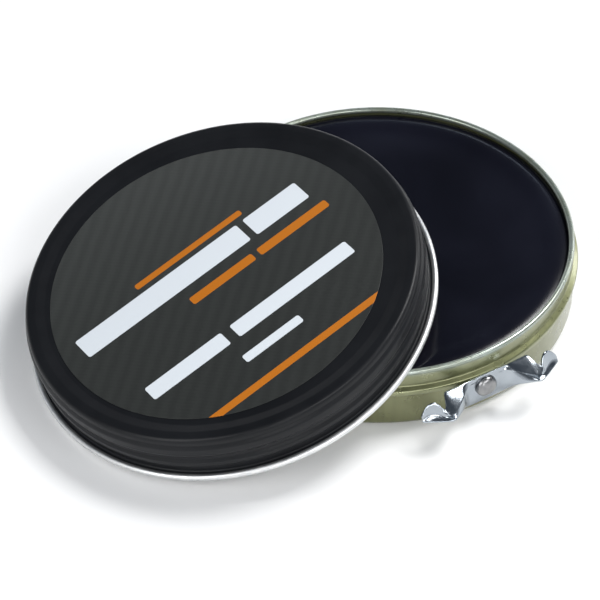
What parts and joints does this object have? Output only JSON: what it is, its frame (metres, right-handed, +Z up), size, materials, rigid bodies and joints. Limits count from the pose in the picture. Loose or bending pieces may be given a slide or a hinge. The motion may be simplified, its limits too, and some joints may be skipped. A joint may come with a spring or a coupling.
{
  "type": "shoe polish tin",
  "caption": "Round flat tin of shoe polish with a black lid laid off at an angle, an olive lacquered base and a riveted turn key that prises the lid up.",
  "frame": {"origin": "centre of the base tin's underside, on the surface it stands on", "axes": "+Z up along the base tin's axis; -Y out through the key's rivet; the lid lies off towards -X"},
  "size_m": [0.105, 0.0795, 0.0274],
  "materials": {
    "base_shell": "olive-gold lacquer on tinplate, semi-gloss",
    "polish": "black wax polish, smooth cast skin",
    "opener_rivet": "satin",
    "rivet_washer": "satin",
    "opener_key": "bright zinc plate",
    "lid_shell": "black lacquer on tinplate, satin, with a bare curled edge",
    "lid_label": "dark printed label with plain stripes"
  },
  "bodies": {
    "base": {"base_shell": "base_shell", "polish": "polish", "opener_rivet": "opener_rivet", "rivet_washer": "rivet_washer"},
    "opener": {"opener_key": "opener_key"},
    "lid": {"lid_shell": "lid_shell", "lid_label": "lid_label"}
  },
  "joints": [
    {"name": "opener_turn", "type": "hinge", "parent": "base", "child": "opener", "pos_m": [0, -0.0372, 0.0066], "axis": [0, -1, 0], "range_deg": [-90, 90]},
    {"name": "lid_lift", "type": "slide", "parent": "base", "child": "lid", "axis": [0, 0, 1], "range_m": [0, 0.06]}
  ]
}
